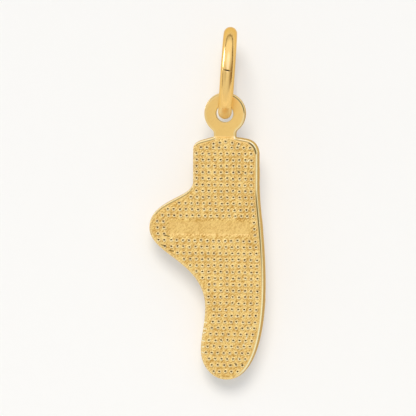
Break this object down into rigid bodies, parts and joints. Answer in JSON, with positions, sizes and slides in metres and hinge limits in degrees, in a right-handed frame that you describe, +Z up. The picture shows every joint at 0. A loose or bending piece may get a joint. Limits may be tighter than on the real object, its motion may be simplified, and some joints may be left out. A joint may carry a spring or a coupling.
{
  "type": "ballet slipper charm",
  "caption": "Small struck gold charm in the shape of a foot in a pointe slipper, with a flat pitted back, an eye on top and a round-wire jump ring to hang it by.",
  "frame": {"origin": "hang point: on the inside of the jump ring at its top, where a chain's link or a clasp bears", "axes": "+Z up along the charm's length, which hangs from the ring; +Y out of the modelled front; -Y out of the flat back that the picture shows; +X to the right seen from the back, on the instep's side"},
  "size_m": [0.0076, 0.006, 0.023],
  "materials": {
    "gold_wire": "polished 14-karat yellow gold, drawn round wire",
    "gold_struck": "14-karat yellow gold, die-struck: polished rim and front, satin back with a grid of small pits"
  },
  "bodies": {
    "ring": {"jump_ring": "gold_wire"},
    "charm": {"slipper": "gold_struck"}
  },
  "joints": [
    {"name": "swing", "type": "hinge", "parent": "ring", "child": "charm", "pos_m": [-0.00033, 0, -0.00473], "axis": [0, 1, 0], "range_deg": [-143, 151]}
  ]
}
